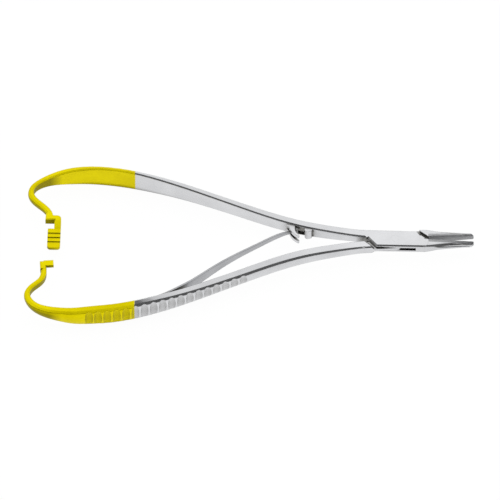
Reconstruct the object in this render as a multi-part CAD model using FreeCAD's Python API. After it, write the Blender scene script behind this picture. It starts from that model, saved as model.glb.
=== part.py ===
import FreeCAD, Part
import os
from FreeCAD import Vector

os.makedirs("parts", exist_ok=True)

# Box-lock instrument with bow handles. Millimetres, +Z up.
# The pivot axis is Z through X = 0, Y = 0, and the jaws point to +X.
# Both arms are laid out closed, as mirror images about the X axis, and the
# male arm is then turned to the open rest pose.

# Overall
OPEN_ANGLE = 5.0              # degrees between closed jaws and the open stop
BOX_THICK = 3.8               # box lock and jaw root, measured along Z
BOX_TOP = BOX_THICK / 2
LIFT = BOX_TOP                # the box's underside lies at Z = 0
BOX_HALF_WIDTH = 3.85
JAW_LENGTH = 29.5             # pivot to jaw tip
EDGE_BEVEL = 0.5              # bevel along the long edges
BEVEL_GROWTH = 0.5            # how much wider the outer bevel gets per millimetre of draft
MARGIN = 1.0                  # how far a cutter reaches past what it cuts

# Box lock: two plates of the female arm with the tongue of the male arm between
SLOT = 1.3
TONGUE_PLAY = 0.05            # clearance on each side of the tongue
PLATE = (BOX_THICK - SLOT) / 2
SLOT_FRONT = 7.85             # flat end of the slot in the middle of the box
SLOT_TIP = 9.9                # sloped end of the slot beside it
SHOULDER_SLOPE = 1.3          # run of the sloped shoulder that faces the plate end
SHOULDER_X = 12.7
PLATE_REAR = [(-10.5, 0.0), (-7.2, -BOX_HALF_WIDTH)]
PLATE_REAR_BEVEL = 0.8
PLATE_FRONT = [(9.66, 1.67), (7.9, BOX_HALF_WIDTH)]
PLATE_FRONT_BEVEL = 0.4
PLATE_FRONT_RISE = 0.5
PIN_DIAMETER = 3.0
PIN_PLAY = 0.04
PIN_SEAT = 0.01

# Jaws and their hard inserts
INSERT_START = 12.6
INSERT_THICK = 1.2
BITE_GAP = 0.02               # each gripping face stops this far from the middle
ROOT_GAP = 0.08               # the bare jaw roots stop this far from it
JAW_ROOT = INSERT_START - 1.6
JAW_BASE = 3.8                # jaw thickness where it leaves the box
JAW_BEVEL = 0.35
NOSE_PLAN = 1.9               # radius of the nose seen from above
NOSE_SIDE = 1.6               # and seen from the side
# Jaw stations: X, height along Z, thickness without the crown, crown, draft
JAW = [
    (JAW_ROOT, BOX_THICK, 3.76, 0.04, 0.0),
    (13.0, 3.76, 3.50, 0.20, 0.05),
    (16.0, 3.58, 2.88, 0.55, 0.20),
    (20.5, 3.20, 2.05, 0.85, 0.28),
    (25.0, 2.75, 1.42, 0.95, 0.28),
    (JAW_LENGTH, 2.40, 1.00, 0.90, 0.25),
]

# Strip handles: X and Y of the flat inner face, width along Z, thickness without
# the crown, crown of the outer face, draft of each flank
HANDLE = [
    (-11.5, 0.37, 3.80, 3.62, 0.04, 0.00),
    (-17.2, 0.92, 4.15, 3.55, 0.18, 0.10),
    (-24.3, 1.95, 4.70, 3.52, 0.32, 0.20),
    (-35.7, 4.22, 5.50, 3.48, 0.46, 0.35),
    (-47.0, 7.80, 5.90, 3.38, 0.50, 0.42),
    (-58.4, 12.35, 6.25, 3.20, 0.50, 0.48),
    (-69.9, 17.00, 6.85, 3.02, 0.45, 0.50),
    (-81.3, 21.30, 7.75, 2.86, 0.45, 0.50),
    (-92.6, 24.90, 9.00, 2.64, 0.42, 0.62),
    (-100.2, 26.80, 9.65, 2.54, 0.40, 0.75),
    (-108.0, 27.95, 9.75, 2.54, 0.40, 0.75),
    (-115.3, 28.15, 9.15, 2.64, 0.40, 0.65),
]

# Ratchet: a rack on the female arm and a catch tooth on the male arm.
# X is counted from the middle of the rack, here and in the two bow ends.
RATCHET_X = -127.5
STEM = 3.0                    # height of both stems along Z
STEM_LAP = 0.6                # how far the straight stem reaches into its bow
RACK_TOP = 0.10               # the rack lies below this, the tooth rides above it
RACK_HALF = 2.42
RACK_UPPER = 2.5
RACK_LOWER = -6.85
RACK_ROUND = 1.2
RACK_EDGE = 0.4               # bevel round the rack and the bar
RACK_CORNER = RACK_EDGE + 0.002   # radius of its upper left corner, a hair over the bevel
NECK_LEFT = -0.05
BAR_LEFT = -3.45
BAR_LOW = 5.85
BAR_HIGH = 8.2
BAR_ROUND = 1.5
BAR_JOIN = 0.5                # how far right of the bow's end the bar's upper side starts
NECK_TOP = 0.4                # how far below the bar's lower side the neck starts to slope
TOOTH_PITCH = 2.1
TOOTH_FIRST = 2.05            # from the upper end of the rack to the first notch
TOOTH_LENGTH = 0.85
TOOTH_DEPTH = 0.28
TOOTH_LEAN = 0.1              # run of the steep side of a notch
TEETH_CUT = 3
RIDE = 0.08                   # clearance between tooth and rack crests
TOOTH_LAP = 0.9               # how far the tooth reaches into its stem
CATCH_REACH = -0.5
CATCH_LENGTH = 2.5
CATCH_TOP = -2.85

# In-curled bow ends: as the handle stations, which they continue
RACK_BOW = [
    (6.0, 27.46, 8.00, 2.68, 0.42, 0.45),
    (1.6, 26.50, 6.60, 2.60, 0.38, 0.35),
    (-2.8, 24.90, 4.90, 2.40, 0.34, 0.28),
    (-5.8, 23.20, 4.20, 2.10, 0.30, 0.20),
    (-7.9, 20.90, 3.85, 1.95, 0.28, 0.16),
    (-8.1, 18.40, 3.65, 1.95, 0.26, 0.14),
    (-6.7, 16.10, 3.50, 1.98, 0.24, 0.12),
    (-4.4, 13.95, 3.30, 2.02, 0.22, 0.10),
    (-2.3, 11.80, 3.10, 2.06, 0.20, 0.08),
    (-1.2, 9.90, STEM, 2.10, 0.20, 0.06),
]
CATCH_BOW = [
    (4.9, 27.91, 7.60, 2.62, 0.42, 0.42),
    (0.5, 26.97, 6.40, 2.56, 0.38, 0.34),
    (-4.0, 25.55, 5.30, 2.40, 0.34, 0.28),
    (-7.2, 23.80, 4.55, 2.15, 0.30, 0.22),
    (-9.5, 21.00, 4.00, 1.98, 0.28, 0.18),
    (-10.0, 17.90, 3.70, 1.95, 0.26, 0.14),
    (-8.3, 15.20, 3.45, 1.95, 0.24, 0.12),
    (-5.2, 12.50, 3.25, 2.00, 0.22, 0.10),
    (-3.5, 9.30, 3.10, 2.06, 0.20, 0.08),
    (-3.25, 6.00, STEM, 2.10, 0.20, 0.06),
]

# Grip pockets milled across the crowned outer faces
POCKETS = 18
POCKET_FIRST = -116.2
POCKET_PITCH = 3.36
POCKET_RADIUS = 1.9
POCKET_DEPTH = 0.72
POCKET_REACH = 6              # half length of a pocket's cutter

# Hook for the spring on the inner side of the female handle
HOOK_X = -36.0                # tips of the two prongs
PRONG_PITCH = 2.9
PRONG_THICK = 1.4
BOSS_HEIGHT = 4.2
RECESS = (-1.55, 2.15)        # from the tips of the hook to both ends of the recess
RECESS_DEPTH = 0.8
RECESS_HEIGHT = 3.9

# Leaf spring on the male handle
LEAF_THICK = 0.7
LEAF_SEAT = 0.08              # gap under the leaf where it lies on the handle
HEAD_WIDTH = 3.3
HEAD_LENGTH = 0.65
HEAD_THICK = 0.76
HEAD_ROOT = 0.3               # how far the head reaches back over the neck
# Where the leaf lies on the handle: X and width
LEAF_BASE = [(-105.0, 4.6), (-101.0, 6.2), (-97.0, 6.4), (-93.0, 6.2), (-89.5, 5.9)]
# Where it is free: X, Y and width
LEAF_FREE = [
    (-83.6, -20.4, 5.4),
    (-77.7, -16.8, 4.9),
    (-71.4, -12.1, 4.2),
    (-64.5, -7.0, 3.3),
    (-57.5, -2.6, 2.5),
    (-50.4, 1.4, 2.1),
    (-43.5, 5.1, 1.8),
    (-39.5, 6.5, 1.25),
    (-36.6, 6.8, 1.1),
]
RIVET_X = -92.7
RIVET_DIAMETER = 1.6
RIVET_HEAD = 3.4
RIVET_RISE = 0.75
RIVET_DEPTH = 1.2             # how far the shank goes into the handle
RIVET_PLAY = 0.02             # clearance of the shank
HEAD_PLAY = 0.06              # gap under the rivet's head


def polygon(points, z):
    """Closed wire through points (x, y) at height z."""
    corners = [Vector(x, y, z) for x, y in points]
    return Part.makePolygon(corners + corners[:1])


def slab(points, low, high):
    """Prism over a polygon, from height low to height high."""
    face = Part.Face(polygon(points, low))
    return face.extrude(Vector(0, 0, high - low))


def block(left, right, near, far, low, high):
    """Box between two X, two Y and two Z values."""
    return slab([(left, near), (right, near), (right, far), (left, far)], low, high)


def along_x(outline, left, right):
    """Prism from left to right over an outline given as (y, z) points."""
    corners = [Vector(left, y, z) for y, z in outline]
    face = Part.Face(Part.makePolygon(corners + corners[:1]))
    return face.extrude(Vector(right - left, 0, 0))


def round_bar(radius, x, y, low, high):
    """Cylinder along Z."""
    return Part.makeCylinder(radius, high - low, Vector(x, y, low))


def mirrored(shape):
    """The shape on the other side of the X axis."""
    return shape.mirror(Vector(0, 0, 0), Vector(0, 1, 0))


def both_faces(shape):
    """The shape and its mirror image below the middle plane."""
    return shape.fuse(shape.mirror(Vector(0, 0, 0), Vector(0, 0, 1)))


def opened(shape):
    """The shape turned about the pivot axis to the open pose."""
    copy = shape.copy()
    copy.rotate(Vector(0, 0, 0), Vector(0, 0, 1), OPEN_ANGLE)
    return copy


def spline_through(stations):
    """Curve of a strip's inner face through its stations."""
    curve = Part.BSplineCurve()
    curve.interpolate([Vector(s[0], s[1], 0) for s in stations])
    return curve


def frame_at(curve, x, y):
    """Point and outward normal of a curve near (x, y)."""
    u = curve.parameter(Vector(x, y, 0))
    along = Vector(*curve.tangent(u)[0]).normalize()
    return curve.value(u), Vector(along.y, -along.x, 0)


def place_on(curve, x):
    """Point and outward normal of a handle curve at a given X."""
    plane = Part.Plane(Vector(x, 0, 0), Vector(1, 0, 0))
    highest = max(curve.intersect(plane)[0], key=lambda p: p.Y)
    return frame_at(curve, highest.X, highest.Y)


def strip_section(inner, outward, width, rim, crown, draft, bevel=EDGE_BEVEL):
    """Cross-section of a forged strip: flat inner face, drafted flanks, crowned outer face."""
    half = width / 2
    outer_half = half - draft
    outer_bevel = EDGE_BEVEL + BEVEL_GROWTH * draft

    def at(u, z):
        return inner + outward * u + Vector(0, 0, z)

    corners = [
        (0, half - bevel),
        (bevel, half),
        (rim - outer_bevel, outer_half),
        (rim, outer_half - outer_bevel),
    ]
    upper = [at(u, z) for u, z in corners]
    lower = [at(u, -z) for u, z in corners]
    edges = [Part.makeLine(a, b) for a, b in zip(upper, upper[1:])]
    edges.append(Part.Arc(upper[-1], at(rim + crown, 0), lower[-1]).toShape())
    edges += [Part.makeLine(b, a) for a, b in zip(lower[-2::-1], lower[:0:-1])]
    edges.append(Part.makeLine(lower[0], upper[0]))
    return Part.Wire(edges)


def bow_end(stations):
    """Bow stations with their X counted from the pivot."""
    return [(RATCHET_X + s[0],) + s[1:] for s in stations]


def strip(stations):
    """Handle strip lofted through its stations, and the curve of its inner face."""
    curve = spline_through(stations)
    wires = []
    for x, y, *sizes in stations:
        inner, outward = frame_at(curve, x, y)
        wires.append(strip_section(inner, outward, *sizes))
    return Part.makeLoft(wires, True, False), curve


def handle_thickness(x):
    """Full thickness of the handle at a given X, crown and all."""
    for a, b in zip(HANDLE, HANDLE[1:]):
        if x >= b[0]:
            t = (x - a[0]) / (b[0] - a[0])
            return (1 - t) * (a[3] + a[4]) + t * (b[3] + b[4])
    return HANDLE[-1][3] + HANDLE[-1][4]


def grip_pockets(curve):
    """Round cutters that sink one pocket each into the crowned face."""
    cutters = []
    for i in range(POCKETS):
        x = POCKET_FIRST + i * POCKET_PITCH
        inner, outward = place_on(curve, x)
        reach = handle_thickness(x) + POCKET_RADIUS - POCKET_DEPTH
        centre = inner + outward * reach
        cutters.append(round_bar(POCKET_RADIUS, centre.x, centre.y, -POCKET_REACH, POCKET_REACH))
    return cutters


def handle_strip(bow):
    """Handle and bow of one arm with its grip pockets, on the +Y side."""
    body, curve = strip(HANDLE + bow_end(bow))
    return body.cut(grip_pockets(curve)), curve


def jaw():
    """Tapered jaw with a rounded nose, on the +Y side."""
    wires = [strip_section(Vector(x, 0, 0), Vector(0, 1, 0), height, rim, crown, draft, JAW_BEVEL)
             for x, height, rim, crown, draft in JAW]
    body = Part.makeLoft(wires, True, False)
    back = JAW_ROOT - MARGIN
    plan_x = JAW_LENGTH - NOSE_PLAN
    side_x = JAW_LENGTH - NOSE_SIDE
    near, far = -MARGIN, JAW_BASE + MARGIN
    plan = round_bar(NOSE_PLAN, plan_x, 0, -BOX_THICK, BOX_THICK)
    plan = plan.fuse(block(back, plan_x, near, far, -BOX_THICK, BOX_THICK))
    side = Part.makeCylinder(NOSE_SIDE, far - near, Vector(side_x, near, 0), Vector(0, 1, 0))
    side = side.fuse(block(back, side_x, near, far, -BOX_THICK, BOX_THICK))
    return body.common(plan).common(side)


def insert_zone(low, high):
    """Slab that holds the insert of the +Y jaw."""
    return block(INSERT_START, JAW_LENGTH + MARGIN, low, high, -BOX_THICK, BOX_THICK)


def insert_seat():
    """Cutter that makes room for the insert of the +Y jaw and parts the jaw roots."""
    root = block(JAW_ROOT, INSERT_START + MARGIN, -ROOT_GAP, ROOT_GAP, -BOX_THICK, BOX_THICK)
    return insert_zone(-MARGIN, INSERT_THICK).fuse(root)


def box_block(points, bevelled):
    """Full-height block of the box. The sides that start at the listed points are bevelled."""
    body = slab(points, -BOX_TOP, BOX_TOP)
    middles = []
    for i in bevelled:
        a, b = Vector(*points[i]), Vector(*points[(i + 1) % len(points)])
        middles.append((a + b) * 0.5)
    edges = []
    for edge in body.Edges:
        middle = edge.CenterOfMass
        level = Vector(middle.x, middle.y, 0)
        if abs(middle.z) > 0.01 and any(level.distanceToPoint(m) < 0.01 for m in middles):
            edges.append(edge)
    return body.makeChamfer(EDGE_BEVEL, edges)


def plate_bevel(ends, run, rise):
    """Wedge pair that slopes a plate end inward by run over the given rise."""
    a, b = [Vector(x, y, 0) for x, y in ends]
    line = (b - a).normalize()
    out = Vector(line.y, -line.x, 0)
    outline = [(0, BOX_TOP - rise), (-run, BOX_TOP), (-run, BOX_TOP + MARGIN),
               (3, BOX_TOP + MARGIN), (3, BOX_TOP - rise)]
    corners = [a + out * u + Vector(0, 0, z) for u, z in outline]
    face = Part.Face(Part.makePolygon(corners + corners[:1]))
    return both_faces(face.extrude(b - a + line * 2))


def root_sides():
    """Inner and outer Y of the handles where they leave the box."""
    x, inner, _, rim, crown, _ = HANDLE[0]
    return x, inner, inner + rim + crown


def female_box():
    """Box of the female arm, still solid, with the outline of its two plates."""
    root_x, root_in, root_out = root_sides()
    outline = [
        (root_x, root_out),
        (root_x, root_in),
        PLATE_REAR[0],
        PLATE_REAR[1],
        (JAW_ROOT, -JAW_BASE),
        (INSERT_START - 0.2, -2.8),
        (INSERT_START - 0.2, -ROOT_GAP),
        (JAW_ROOT + 0.1, 0.36),
        PLATE_FRONT[0],
        PLATE_FRONT[1],
    ]
    return box_block(outline, [1, 3, 9])


def slot_cut():
    """Slot through the middle of the female box."""
    half = [(SLOT_FRONT, -6), (SLOT_FRONT, -1.6), (SLOT_TIP, -0.02), (14, -0.02), (14, 6)]
    outline = half + [(-x, -y) for x, y in half]
    return slab(outline, -SLOT / 2, SLOT / 2)


def corner_arc(start, corner, end):
    """Quarter turn from start to end about the inner side of a corner."""
    centre = start + end - corner
    radius = (start - centre).Length
    middle = centre + (corner - centre).normalize() * radius
    return Part.Arc(start, middle, end).toShape()


def rounded_plate(points, radii, low, high):
    """Prism over a polygon whose corners are rounded by the listed radii."""
    corners = [Vector(x, y, low) for x, y in points]
    ends = []
    for i, radius in enumerate(radii):
        before, corner = corners[i - 1], corners[i]
        after = corners[(i + 1) % len(corners)]
        ends.append((corner + (before - corner).normalize() * radius,
                     corner + (after - corner).normalize() * radius))
    edges = []
    for i, radius in enumerate(radii):
        if radius:
            edges.append(corner_arc(ends[i][0], corners[i], ends[i][1]))
        edges.append(Part.makeLine(ends[i][1], ends[(i + 1) % len(corners)][0]))
    return Part.Face(Part.Wire(edges)).extrude(Vector(0, 0, high - low))


def rack_blank(curve):
    """Bar, neck and rack in full height, joined to the end of the female bow."""
    x, y, _, rim, crown, _ = bow_end(RACK_BOW)[-1]
    inner, outward = frame_at(curve, x, y)
    outer = inner + outward * (rim + crown)
    right = RATCHET_X + RACK_HALF
    left = RATCHET_X - RACK_HALF
    neck = RATCHET_X + NECK_LEFT
    bar_left = RATCHET_X + BAR_LEFT
    points = [
        (outer.x, outer.y),
        (bar_left, BAR_LOW),
        (neck, BAR_LOW),
        (neck, RACK_UPPER),
        (left, RACK_UPPER),
        (left, RACK_LOWER),
        (right, RACK_LOWER),
        (right, BAR_HIGH),
        (inner.x + BAR_JOIN, BAR_HIGH),
        (inner.x, inner.y),
    ]
    radii = [0, 0, 0, 0, RACK_CORNER, RACK_ROUND, RACK_ROUND, BAR_ROUND, 0, 0]
    plate = rounded_plate(points, radii, -STEM / 2, STEM / 2)
    rims = []
    for edge in plate.Edges:
        middle = edge.CenterOfMass
        if abs(abs(middle.z) - STEM / 2) < 0.01 and middle.y < BAR_HIGH + 0.05:
            rims.append(edge)
    return plate.makeChamfer(RACK_EDGE, rims)


def rack_end(curve):
    """Bar, sloped neck and toothed rack at the end of the female bow."""
    left = RATCHET_X - RACK_HALF - MARGIN
    right = RATCHET_X + RACK_HALF + MARGIN
    below = RACK_LOWER - MARGIN
    # The neck slopes down to the rack, so that the tooth can pass above it.
    slope_top = BAR_LOW - NECK_TOP
    room = [(slope_top, STEM / 2), (RACK_UPPER, RACK_TOP), (below, RACK_TOP),
            (below, STEM), (slope_top, STEM)]
    plate = rack_blank(curve).cut(along_x(room, left, right))
    # Ratchet notches: steep on the upper side, sloped on the lower side.
    for i in range(TEETH_CUT):
        y = RACK_UPPER - TOOTH_FIRST - i * TOOTH_PITCH
        notch = [(y + TOOTH_LEAN, RACK_TOP + TOOTH_LEAN), (y, RACK_TOP - TOOTH_DEPTH),
                 (y - TOOTH_LENGTH, RACK_TOP), (y - TOOTH_LENGTH, RACK_TOP + TOOTH_LEAN)]
        plate = plate.cut(along_x(notch, left, right))
    return plate


def plan_shape(pieces, low, high):
    """Prism over an outline of lines (two points) and arcs (three points)."""
    edges = []
    for piece in pieces:
        points = [Vector(HOOK_X + x, y, low) for x, y in piece]
        if len(points) == 3:
            edges.append(Part.Arc(*points).toShape())
        else:
            edges.append(Part.makeLine(*points))
    return Part.Face(Part.Wire(edges)).extrude(Vector(0, 0, high - low))


def hook():
    """Two claw-shaped prongs and a round boss that hold the head of the spring."""
    claw = [
        ((-6.2, 7.2), (-6.2, 6.5)),
        ((-6.2, 6.5), (-4.3, 5.2), (-3.5, 3.6)),
        ((-3.5, 3.6), (-2.2, 1.3), (-0.1, -0.35)),
        ((-0.1, -0.35), (0.25, 0.15)),
        ((0.25, 0.15), (-1.1, 1.7), (-1.55, 3.3)),
        ((-1.55, 3.3), (-1.55, 5.7)),
        ((-1.55, 5.7), (-6.2, 7.2)),
    ]
    inside = PRONG_PITCH / 2 - PRONG_THICK / 2
    prong = plan_shape(claw, inside, inside + PRONG_THICK)
    bump = [
        ((2.15, 4.8), (2.15, 3.0)),
        ((2.15, 3.0), (2.55, 2.15), (3.3, 1.9)),
        ((3.3, 1.9), (4.7, 2.3)),
        ((4.7, 2.3), (5.2, 3.5)),
        ((5.2, 3.5), (2.15, 4.8)),
    ]
    boss = plan_shape(bump, -BOSS_HEIGHT / 2, BOSS_HEIGHT / 2)
    return both_faces(prong).fuse(boss)


def spring_recess(curve):
    """Recess in the inner face that takes the head of the spring."""
    left, right = [HOOK_X + x for x in RECESS]
    corners = []
    for x, depth in ((left, -MARGIN), (right, -MARGIN), (right, RECESS_DEPTH), (left, RECESS_DEPTH)):
        inner, outward = place_on(curve, x)
        corners.append((inner.x, (inner + outward * depth).y))
    return slab(corners, -RECESS_HEIGHT / 2, RECESS_HEIGHT / 2)


def through_hole(radius):
    """Cutter for the pin hole."""
    return round_bar(radius, 0, 0, -BOX_THICK, BOX_THICK)


def female_arm():
    """Upper handle with rack and hook, the two box plates and the lower jaw."""
    body, curve = handle_strip(RACK_BOW)
    arm = body.fuse([female_box(), mirrored(jaw())])
    arm = arm.cut(spring_recess(curve))
    arm = arm.fuse([rack_end(curve), hook()])
    arm = arm.cut(slot_cut())
    arm = arm.cut(plate_bevel(PLATE_REAR, PLATE_REAR_BEVEL, PLATE))
    arm = arm.cut(plate_bevel(PLATE_FRONT, PLATE_FRONT_BEVEL, PLATE_FRONT_RISE))
    return arm.cut([through_hole(PIN_DIAMETER / 2 + PIN_SEAT), mirrored(insert_seat())])


def male_box():
    """Box of the male arm, still solid."""
    root_x, root_in, root_out = root_sides()
    outline = [
        (root_x, -root_out),
        (1.3, -3.86),
        (7.0, -1.0),
        (SLOT_TIP, 0.05),
        (JAW_ROOT, 0.0),
        (JAW_ROOT, JAW_BASE),
        (-1.3, BOX_HALF_WIDTH),
        (-7.0, 1.0),
        (-SLOT_TIP, -0.12),
        (root_x, -root_in),
    ]
    return box_block(outline, [0, 5])


def room_outline(shift, z):
    """Outline at height z of the room that the male arm leaves for a plate."""
    rear = shift - SHOULDER_X
    points = [
        (rear, 0.25),
        (rear + 0.84, -0.6),
        (rear + 3.2, -3.0),
        (rear + 3.7, -6.0),
        (8.9, -6.0),
        (12.4, 0.05),
        (11.86, 0.7),
        (9.63, 2.73),
        (8.9, 6.0),
        (rear, 6.0),
    ]
    return polygon(points, z)


def plate_room():
    """Room for both plates, between sloped shoulders on the two faces."""
    tongue = SLOT / 2 - TONGUE_PLAY
    slope = SHOULDER_SLOPE / (BOX_TOP - tongue)
    wires = [room_outline(SHOULDER_SLOPE, tongue), room_outline(-slope * MARGIN, BOX_TOP + MARGIN)]
    return both_faces(Part.makeLoft(wires, True, True))


def catch():
    """Straight stem of the male bow and the tooth that rides on the rack."""
    x, y, _, rim, crown, _ = bow_end(CATCH_BOW)[-1]
    left = x - rim - crown
    joined = -y - STEM_LAP
    stem = block(left, x, joined, CATCH_TOP, -STEM / 2, STEM / 2)
    rims = [e for e in stem.Edges if abs(abs(e.CenterOfMass.z) - STEM / 2) < 0.01
            and e.CenterOfMass.y > joined + 0.01]
    stem = stem.makeChamfer(RACK_EDGE, rims)
    low_y = CATCH_TOP - CATCH_LENGTH
    tooth = block(x - TOOTH_LAP, RATCHET_X + CATCH_REACH, low_y, CATCH_TOP,
                  RACK_TOP + RIDE, STEM / 2)
    return stem.fuse(tooth)


def male_arm(body):
    """Lower handle with its catch, the tongue of the box and the upper jaw."""
    arm = mirrored(body).fuse([male_box(), jaw()])
    arm = arm.cut([plate_room(), through_hole(PIN_DIAMETER / 2 + PIN_PLAY), insert_seat()])
    return arm.fuse(catch())


def pivot_pin():
    """Pin of the box lock, flush with both plates."""
    return round_bar(PIN_DIAMETER / 2, 0, 0, -BOX_TOP, BOX_TOP)


def jaw_insert():
    """Hard insert of the +Y jaw."""
    return jaw().common(insert_zone(BITE_GAP, INSERT_THICK))


def leaf_centre(curve, x):
    """Middle of the leaf where it lies on the male handle, and the way to the handle."""
    inner, outward = place_on(curve, x)
    seat = inner - outward * (LEAF_SEAT + LEAF_THICK / 2)
    return Vector(seat.x, -seat.y, 0), Vector(outward.x, -outward.y, 0)


def leaf_spring(curve):
    """Tapered leaf with its T-shaped head."""
    points = [leaf_centre(curve, x)[0] for x, width in LEAF_BASE]
    points += [Vector(x, y, 0) for x, y, width in LEAF_FREE]
    widths = [s[-1] for s in LEAF_BASE + LEAF_FREE]
    path = Part.BSplineCurve()
    path.interpolate(points)
    wires = []
    for point, width in zip(points, widths):
        outward = frame_at(path, point.x, point.y)[1] * (LEAF_THICK / 2)
        rise = Vector(0, 0, width / 2)
        corners = [point + outward - rise, point - outward - rise,
                   point - outward + rise, point + outward + rise]
        wires.append(Part.makePolygon(corners + corners[:1]))
    blade = Part.makeLoft(wires, True, False)
    end, outward = frame_at(path, points[-1].x, points[-1].y)
    along = Vector(-outward.y, outward.x, 0)
    near = end - along * HEAD_ROOT
    far = end + along * HEAD_LENGTH
    side = outward * (HEAD_THICK / 2)
    corners = [near + side, far + side, far - side, near - side]
    head = slab([(c.x, c.y) for c in corners], -HEAD_WIDTH / 2, HEAD_WIDTH / 2)
    return blade.fuse(head)


def rivet_parts(curve):
    """Domed rivet through the leaf, and the cutter for its hole."""
    seat, down = leaf_centre(curve, RIVET_X)
    top = seat - down * (LEAF_THICK / 2 + HEAD_PLAY)
    length = LEAF_THICK + LEAF_SEAT + RIVET_DEPTH
    shank = Part.makeCylinder(RIVET_DIAMETER / 2, length, top, down)
    hole = Part.makeCylinder(RIVET_DIAMETER / 2 + RIVET_PLAY, length + MARGIN + RIVET_PLAY,
                             top - down * MARGIN, down)
    ball_radius = (RIVET_HEAD ** 2 / 4 + RIVET_RISE ** 2) / (2 * RIVET_RISE)
    ball = Part.makeSphere(ball_radius, top + down * (ball_radius - RIVET_RISE))
    cap = Part.makeCylinder(RIVET_HEAD / 2, RIVET_RISE + MARGIN,
                            top - down * (RIVET_RISE + MARGIN), down)
    return shank.fuse(ball.common(cap)), hole


male_handle, male_curve = handle_strip(CATCH_BOW)
rivet, rivet_hole = rivet_parts(male_curve)
pieces = {
    "female_arm": female_arm(),
    "male_arm": opened(male_arm(male_handle).cut(rivet_hole)),
    "pivot_pin": pivot_pin(),
    "female_jaw_insert": mirrored(jaw_insert()),
    "male_jaw_insert": opened(jaw_insert()),
    "leaf_spring": opened(leaf_spring(male_curve).cut(rivet_hole)),
    "spring_rivet": opened(rivet),
}
for name, shape in pieces.items():
    shape = shape.removeSplitter()
    shape.translate(Vector(0, 0, LIFT))
    shape.exportStep("parts/" + name + ".step")
    box = shape.BoundBox
    print(name, len(shape.Solids), shape.isValid(), round(shape.Volume, 1),
          [round(v, 2) for v in (box.XMin, box.XMax, box.YMin, box.YMax, box.ZMin, box.ZMax)])
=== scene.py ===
import math

import bpy
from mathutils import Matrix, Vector


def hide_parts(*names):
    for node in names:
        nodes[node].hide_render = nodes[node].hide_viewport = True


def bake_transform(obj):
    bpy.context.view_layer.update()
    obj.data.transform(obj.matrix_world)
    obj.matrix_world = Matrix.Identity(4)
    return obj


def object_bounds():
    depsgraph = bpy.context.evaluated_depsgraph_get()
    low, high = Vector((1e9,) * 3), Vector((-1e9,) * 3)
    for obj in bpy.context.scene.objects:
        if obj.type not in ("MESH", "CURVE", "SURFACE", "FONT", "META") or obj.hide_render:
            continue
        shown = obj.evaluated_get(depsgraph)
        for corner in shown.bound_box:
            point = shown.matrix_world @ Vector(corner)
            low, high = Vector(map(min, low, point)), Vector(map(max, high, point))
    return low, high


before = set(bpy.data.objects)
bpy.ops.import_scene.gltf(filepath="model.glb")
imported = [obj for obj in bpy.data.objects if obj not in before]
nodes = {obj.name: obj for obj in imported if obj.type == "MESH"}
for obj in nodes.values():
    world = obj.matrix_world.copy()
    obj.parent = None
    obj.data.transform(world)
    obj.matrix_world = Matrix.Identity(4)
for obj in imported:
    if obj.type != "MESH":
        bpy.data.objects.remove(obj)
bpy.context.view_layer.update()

MM = 0.001

# Camera: long lens, 50 degrees above the table, on the side of the lower handle
VIEW_TURN = math.radians(1.6)
VIEW_HEIGHT = math.radians(50)
VIEW_DISTANCE = 6.0
VIEW_WIDTH = 186.8 * MM
VIEW_CENTRE = Vector((-54.05, -5.8, 1.9)) * MM
SENSOR = 36.0
CLIP_NEAR = 0.01
CLIP_FAR = 100

# Table
TABLE_HALF = 12.0
TABLE_GAP = 0.05 * MM         # between the table and the lowest point of the instrument
TABLE_WHITE = (0.9, 0.9, 0.9, 1)
TABLE_GLOW = 1.04
GLOW_SHARE = 0.93             # the rest is a matte white that takes the shadows
GLOW_REFLECTED = 0.93         # share of that in what the metal reflects

# Room and lamp
WHITE = (1, 1, 1, 1)
ROOM_LIGHT = 0.92
BAND_DEPTH = 0.90             # how much darker the band in front is than the room
BAND_EDGE = math.radians(38)  # from the middle of the band to where it ends
BAND_CORE = math.radians(20)  # from the middle to where it starts to fade
SOFTBOX_PLACE = (-0.05, 0.55, 0.66)
SOFTBOX_AIM = (-0.05, 0, 0)
SOFTBOX_SIZE = (0.9, 0.5)
SOFTBOX_RADIANCE = 0.15

# Steel
STEEL = (0.72, 0.725, 0.74, 1)
STEEL_DULL = (0.65, 0.655, 0.67, 1)
# Colour of the painted dark line along sharp edges, standing in for their dark reflection
STEEL_EDGE_SHADE = (0.40, 0.405, 0.42, 1)
SPRING = (0.47, 0.475, 0.49, 1)
SPRING_DULL = (0.40, 0.405, 0.42, 1)
SCRATCH = (0.5, 0.5, 0.52, 1)
# Colour of the painted shade in corners and grooves
CORNER_SHADE = (0.13, 0.125, 0.11, 1)
EDGE_SHADE_WIDTH = 0.2 * MM          # width of the painted dark line along sharp edges
EDGE_ROUND = 0.3 * MM         # radius that the shading gives to sharp edges
BRUSH_DEPTH = 0.01 * MM
BRUSH_SCALE = (60, 2600, 2600)
SCRATCH_SCALE = (35, 900, 900)
CLOUD_SCALE = 90              # the satin finish is a little uneven
GRAIN_SCALE = 5200
CORNER_NEAR = (2.5 * MM, 0.6)     # reach of the painted shade in corners, and how deep is full
CORNER_WIDE = (4 * MM, 0.76)      # the same for the corners of one piece by itself
# The pin is ground flush with the box, which leaves no edge round it.
PIN_GROUND = (1.9 * MM, 2.3 * MM)

# The yellow plating covers the handles left of this plane. The walls of the bow ends get painted
# olive shade.
PLATING_EDGE = -97.2 * MM
PLATING_FADE = 0.12 * MM
PLATING_RAGGED = 0.08 * MM
RAGGED_SCALE = 1400
BOW_WALL_SHADE = (-124.4 * MM, -129 * MM)
PLATING = (0.92, 0.79, 0.003, 1)
PLATING_DEEP = (0.78, 0.65, 0.001, 1)
# Dark olive of the painted shade on the plating, in corners, along edges and on the bow walls
OLIVE_SHADE = (0.30, 0.255, 0.002, 1)

# Hard metal of the inserts
HARD_METAL = (0.42, 0.425, 0.435, 1)
HARD_METAL_LIGHT = (0.55, 0.555, 0.565, 1)
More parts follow.
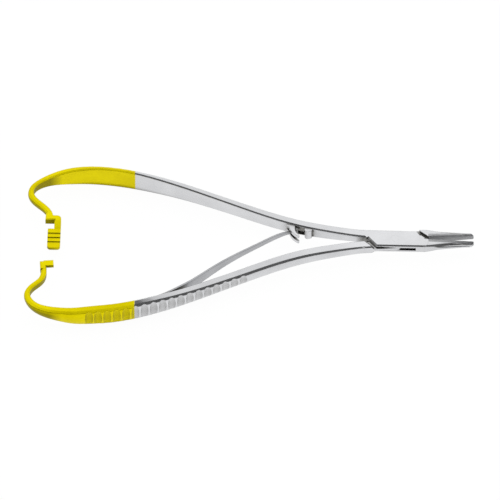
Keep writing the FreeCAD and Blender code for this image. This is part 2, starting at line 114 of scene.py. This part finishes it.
# Colour of the painted shade in the grooves
GROOVE_SHADE = (0.14, 0.14, 0.145, 1)
GROOVE_PITCH = 0.42 * MM
GROOVE_DEPTH = 0.09 * MM
SINTER_CLOUD_SCALE = 260
SINTER_GRAIN_SCALE = 6500

along = Vector((math.cos(VIEW_TURN), math.sin(VIEW_TURN), 0))
toward_camera = Vector((
    math.sin(VIEW_TURN) * math.cos(VIEW_HEIGHT),
    -math.cos(VIEW_TURN) * math.cos(VIEW_HEIGHT),
    math.sin(VIEW_HEIGHT),
))


class Tree:
    """Adds and links nodes of one material or world."""

    # Numbers of the two inputs and of the output of a mix, by kind of data
    MIX_SOCKETS = {"VECTOR": (4, 5, 1), "RGBA": (6, 7, 2)}

    def __init__(self, owner):
        owner.use_nodes = True
        self.tree = owner.node_tree
        self.tree.nodes.clear()

    def add(self, kind, inputs=None, **settings):
        node = self.tree.nodes.new(kind)
        for name, value in settings.items():
            setattr(node, name, value)
        for name, value in (inputs or {}).items():
            socket = node.inputs[name]
            if isinstance(value, bpy.types.NodeSocket):
                self.tree.links.new(value, socket)
            else:
                socket.default_value = value
        return node

    def maths(self, operation, a, b=0.0, c=0.0):
        return self.add("ShaderNodeMath", {0: a, 1: b, 2: c}, operation=operation).outputs[0]

    def mix(self, factor, a, b, kind="RGBA"):
        first, second, result = self.MIX_SOCKETS[kind]
        node = self.add("ShaderNodeMix", {0: factor, first: a, second: b}, data_type=kind)
        return node.outputs[result]

    def tint(self, colour, mask, strength, other):
        """The colour, mixed with another one where the mask is on."""
        return self.mix(self.maths("MULTIPLY", mask, strength), colour, other)

    def dot(self, a, b):
        node = self.add("ShaderNodeVectorMath", {0: a, 1: b}, operation="DOT_PRODUCT")
        return node.outputs["Value"]

    def height_of(self, direction):
        """Z part of a direction."""
        return self.add("ShaderNodeSeparateXYZ", {0: direction}).outputs["Z"]

    def ramp(self, value, low, high, to_low=0.0, to_high=1.0, smooth=False):
        kind = "SMOOTHSTEP" if smooth else "LINEAR"
        node = self.add("ShaderNodeMapRange", {
            "Value": value, "From Min": low, "From Max": high, "To Min": to_low, "To Max": to_high,
        }, interpolation_type=kind)
        return node.outputs["Result"]

    def noise(self, vector, scale, detail=2.0, roughness=0.5):
        node = self.add("ShaderNodeTexNoise", {
            "Vector": vector, "Scale": scale, "Detail": detail, "Roughness": roughness,
        })
        return node.outputs["Fac"]

    def scaled(self, vector, scale):
        return self.add("ShaderNodeMapping", {"Vector": vector, "Scale": scale}).outputs[0]

    def rounded(self, radius, samples):
        """Normal with the sharp edges rounded off."""
        return self.add("ShaderNodeBevel", {"Radius": radius}, samples=samples).outputs[0]

    def cavity(self, distance, deep, alone=False):
        """1 deep in a corner or groove and 0 in the open."""
        node = self.add("ShaderNodeAmbientOcclusion", {"Distance": distance},
                        samples=8, only_local=alone)
        return self.ramp(node.outputs["AO"], 1.0, deep)

    def edge_mask(self, radius):
        """1 on sharp edges and 0 on flat faces."""
        flat = self.add("ShaderNodeNewGeometry").outputs["Normal"]
        return self.ramp(self.dot(self.rounded(radius, 6), flat), 0.995, 0.90)

    def finish(self, surface, kind="ShaderNodeOutputMaterial"):
        self.add(kind, {"Surface": surface.outputs[0]})


def beyond_pin(t, place):
    """0 on the ground face of the pin and round it, and 1 beyond."""
    flat = t.scaled(place, (1, 1, 0))
    radius = t.add("ShaderNodeVectorMath", {0: flat}, operation="LENGTH").outputs["Value"]
    return t.ramp(radius, *PIN_GROUND)


def softened(t, normal, amount):
    """Normal that is turned upward on the bevels, where polishing has worn their edges."""
    lift = t.maths("MULTIPLY", t.ramp(t.height_of(normal), 0.2, 0.5), amount)
    upward = t.add("ShaderNodeCombineXYZ", {"Z": lift}).outputs[0]
    lifted = t.add("ShaderNodeVectorMath", {0: normal, 1: upward}, operation="ADD").outputs[0]
    return t.add("ShaderNodeVectorMath", {0: lifted}, operation="NORMALIZE").outputs[0]


def brushed(t, place, normal):
    """Normal with fine brushing along the instrument and a little grain."""
    brushing = t.noise(t.scaled(place, BRUSH_SCALE), 1.0, 3.0, 0.6)
    grain = t.noise(place, GRAIN_SCALE, 2.0, 0.6)
    height = t.maths("MULTIPLY_ADD", brushing, 0.6, t.maths("MULTIPLY", grain, 0.4))
    bump = t.add("ShaderNodeBump", {
        "Strength": 0.06, "Distance": BRUSH_DEPTH, "Height": height, "Normal": normal,
    })
    return bump.outputs[0]


def plating_masks(t, place, normal):
    """Where the yellow plating is, and where the walls of the bow ends get painted shade."""
    wander = t.noise(place, RAGGED_SCALE, 2.0)
    ragged = t.maths("MULTIPLY_ADD", wander, 2 * PLATING_RAGGED, -PLATING_RAGGED)
    reach = t.maths("ADD", t.dot(place, along), ragged)
    plating = t.ramp(reach, PLATING_EDGE + PLATING_FADE, PLATING_EDGE - PLATING_FADE)
    wall = t.ramp(t.height_of(normal), 0.5, 0.1)
    return plating, t.maths("MULTIPLY", wall, t.ramp(reach, *BOW_WALL_SHADE))


def instrument_steel(name, plated=True, base=STEEL, dull=STEEL_DULL, rough=0.25):
    """Satin instrument steel with fine brushing, and the yellow plating at the handle end, with
    painted shade in corners, along sharp edges and on the walls of the bow ends.
    """
    material = bpy.data.materials.new(name)
    t = Tree(material)
    place = t.add("ShaderNodeTexCoord").outputs["Object"]
    clouds = t.noise(place, CLOUD_SCALE, 3.0, 0.55)
    scratches = t.ramp(t.noise(t.scaled(place, SCRATCH_SCALE), 1.0, 6.0, 0.75), 0.62, 0.74)
    # Painted shade in corners and grooves, from ambient occlusion
    cavity = t.maths("MAXIMUM", t.cavity(*CORNER_NEAR), t.cavity(*CORNER_WIDE, alone=True))
    away = beyond_pin(t, place)
    edges = t.maths("MULTIPLY", t.edge_mask(EDGE_SHADE_WIDTH), away)
    flat = t.add("ShaderNodeNewGeometry").outputs["Normal"]
    normal = t.mix(away, flat, t.rounded(EDGE_ROUND, 8), kind="VECTOR")

    colour = t.mix(t.ramp(clouds, 0.35, 0.7), base, dull)
    colour = t.tint(colour, scratches, 0.15, SCRATCH)
    # Painted shade: a dark line along sharp edges
    colour = t.tint(colour, edges, 0.5, STEEL_EDGE_SHADE)
    roughness = t.ramp(clouds, 0.3, 0.75, rough - 0.02, rough + 0.05)
    metallic = 1.0
    corner_shade = CORNER_SHADE
    if plated:
        plating, deep = plating_masks(t, place, normal)
        yellow = t.mix(t.ramp(clouds, 0.3, 0.75), PLATING, PLATING_DEEP)
        # Painted shade: an olive line along the sharp edges of the plating
        yellow = t.tint(yellow, edges, 0.6, OLIVE_SHADE)
        colour = t.mix(plating, colour, yellow)
        # Painted shade: olive on the walls of the bow ends
        colour = t.tint(colour, deep, 0.95, OLIVE_SHADE)
        corner_shade = t.mix(plating, CORNER_SHADE, OLIVE_SHADE)
        roughness = t.maths("MULTIPLY_ADD", plating, 0.05, roughness)
        matt = t.maths("MULTIPLY", plating, t.maths("MULTIPLY_ADD", cavity, 0.5, 0.25))
        metallic = t.maths("SUBTRACT", 1.0, matt)
        normal = softened(t, normal, plating)

    t.finish(t.add("ShaderNodeBsdfPrincipled", {
        # The corners get the painted shade: dark grey on steel, olive on the plating
        "Base Color": t.tint(colour, cavity, 0.88, corner_shade),
        "Metallic": metallic,
        "Roughness": t.maths("MULTIPLY_ADD", scratches, 0.05, roughness),
        "Specular IOR Level": 0.0,
        "Normal": brushed(t, place, normal),
    }))
    return material


def crossed_grooves(t, place):
    """Height of two sets of grooves that cross: 1 on the lands and 0 in the grooves."""
    parts = t.add("ShaderNodeSeparateXYZ", {0: place}).outputs
    heights = []
    for sign in (1, -1):
        run = t.maths("MULTIPLY_ADD", parts["Z"], sign, parts["X"])
        turn = t.maths("MULTIPLY", run, math.pi / GROOVE_PITCH)
        wave = t.maths("ABSOLUTE", t.maths("SINE", turn))
        heights.append(t.ramp(wave, 0.0, 0.45, smooth=True))
    return t.maths("MINIMUM", *heights)


def insert_metal(name):
    """Matte sintered metal with crossed grooves, and painted shade in the grooves."""
    material = bpy.data.materials.new(name)
    t = Tree(material)
    place = t.add("ShaderNodeTexCoord").outputs["Object"]
    height = crossed_grooves(t, place)
    clouds = t.noise(place, SINTER_CLOUD_SCALE, 3.0, 0.6)
    grain = t.noise(place, SINTER_GRAIN_SCALE, 3.0, 0.65)
    colour = t.mix(t.ramp(clouds, 0.3, 0.7), HARD_METAL, HARD_METAL_LIGHT)
    # Painted shade in the grooves
    colour = t.mix(t.ramp(height, 0.0, 1.0, 0.4, 0.0), colour, GROOVE_SHADE)
    bump = t.add("ShaderNodeBump", {
        "Strength": 0.7, "Distance": GROOVE_DEPTH,
        "Height": t.maths("MULTIPLY_ADD", grain, 0.12, height),
    })
    t.finish(t.add("ShaderNodeBsdfPrincipled", {
        "Base Color": colour,
        "Metallic": 1.0,
        "Roughness": t.ramp(clouds, 0.2, 0.8, 0.42, 0.58),
        "Normal": bump.outputs[0],
    }))
    return material


def dress(piece, material):
    """Give a piece one material."""
    piece.data.materials.clear()
    piece.data.materials.append(material)


def bending_leaf(material):
    """Copy of the leaf spring, shown in place of the original one."""
    leaf = bpy.data.objects.new("leaf_blade", nodes["leaf_spring"].data.copy())
    bpy.context.scene.collection.objects.link(leaf)
    dress(leaf, material)
    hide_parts("leaf_spring")
    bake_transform(leaf)


def stage_floor():
    """Plain white table under the instrument."""
    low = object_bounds()[0]
    corners = [(-TABLE_HALF, -TABLE_HALF, 0), (TABLE_HALF, -TABLE_HALF, 0),
               (TABLE_HALF, TABLE_HALF, 0), (-TABLE_HALF, TABLE_HALF, 0)]
    mesh = bpy.data.meshes.new("table")
    mesh.from_pydata(corners, [], [(0, 1, 2, 3)])
    floor = bpy.data.objects.new("table", mesh)
    floor.location = (0, 0, low.z - TABLE_GAP)
    bpy.context.scene.collection.objects.link(floor)
    material = bpy.data.materials.new("table_white")
    t = Tree(material)
    rays = t.add("ShaderNodeLightPath").outputs
    shown = t.maths("MAXIMUM", rays["Is Camera Ray"], rays["Is Transmission Ray"])
    reflected = t.maths("MULTIPLY", rays["Is Glossy Ray"], GLOW_REFLECTED)
    shown = t.maths("MAXIMUM", reflected, shown)
    matte = t.add("ShaderNodeBsdfDiffuse", {"Color": TABLE_WHITE})
    glow = t.add("ShaderNodeEmission", {"Color": WHITE, "Strength": TABLE_GLOW})
    t.finish(t.add("ShaderNodeMixShader", {
        0: t.maths("MULTIPLY", shown, GLOW_SHARE), 1: matte.outputs[0], 2: glow.outputs[0],
    }))
    mesh.materials.append(material)


def studio_world():
    """Pale light all round, and a dark band of the room in front of the table."""
    world = bpy.data.worlds.new("studio")
    bpy.context.scene.world = world
    t = Tree(world)
    rays = t.add("ShaderNodeLightPath").outputs
    direction = t.add("ShaderNodeTexCoord").outputs["Generated"]
    front = t.dot(direction, toward_camera)
    side = t.dot(direction, along)
    # The band runs from side to side, so the part of the direction along it is left out.
    across = t.maths("SQRT", t.maths("MULTIPLY_ADD", t.maths("MULTIPLY", side, side), -1.0, 1.0001))
    band = t.ramp(t.maths("DIVIDE", front, across), math.cos(BAND_EDGE), math.cos(BAND_CORE),
                  smooth=True)
    shade = t.maths("MULTIPLY_ADD", band, -BAND_DEPTH, 1.0)
    shown = t.maths("MAXIMUM", rays["Is Camera Ray"], rays["Is Transmission Ray"])
    strength = t.maths("MAXIMUM", shown, t.maths("MULTIPLY", shade, ROOM_LIGHT))
    glow = t.add("ShaderNodeBackground", {"Color": WHITE, "Strength": strength})
    t.finish(glow, "ShaderNodeOutputWorld")


def back_softbox():
    """Large area lamp behind the table, aimed at the instrument."""
    width, height = SOFTBOX_SIZE
    data = bpy.data.lights.new("back_softbox", "AREA")
    data.shape = "RECTANGLE"
    data.size, data.size_y = width, height
    data.energy = SOFTBOX_RADIANCE * math.pi * width * height
    lamp = bpy.data.objects.new("back_softbox", data)
    lamp.location = SOFTBOX_PLACE
    lamp.rotation_mode = "QUATERNION"
    lamp.rotation_quaternion = (Vector(SOFTBOX_AIM) - Vector(SOFTBOX_PLACE)).to_track_quat("-Z", "Y")
    lamp.visible_camera = False
    bpy.context.scene.collection.objects.link(lamp)


def photo_camera():
    """Camera at the photograph's viewing angle."""
    data = bpy.data.cameras.new("camera")
    data.sensor_width = SENSOR
    data.lens = SENSOR * VIEW_DISTANCE / VIEW_WIDTH
    data.clip_start, data.clip_end = CLIP_NEAR, CLIP_FAR
    camera = bpy.data.objects.new("camera", data)
    camera.location = VIEW_CENTRE + toward_camera * VIEW_DISTANCE
    camera.rotation_mode = "QUATERNION"
    camera.rotation_quaternion = (-toward_camera).to_track_quat("-Z", "Y")
    bpy.context.scene.collection.objects.link(camera)
    bpy.context.scene.camera = camera


arm_steel = instrument_steel("arm_steel")
spring_steel = instrument_steel("spring_steel", base=SPRING, dull=SPRING_DULL, rough=0.30)
pin_steel = instrument_steel("pin_steel", plated=False)
hard_metal = insert_metal("hard_metal")

for name in ("female_arm", "male_arm"):
    dress(nodes[name], arm_steel)
for name in ("pivot_pin", "spring_rivet"):
    dress(nodes[name], pin_steel)
for name in ("female_jaw_insert", "male_jaw_insert"):
    dress(nodes[name], hard_metal)

bending_leaf(spring_steel)
stage_floor()
studio_world()
back_softbox()
photo_camera()
bpy.context.scene.view_settings.view_transform = "Standard"
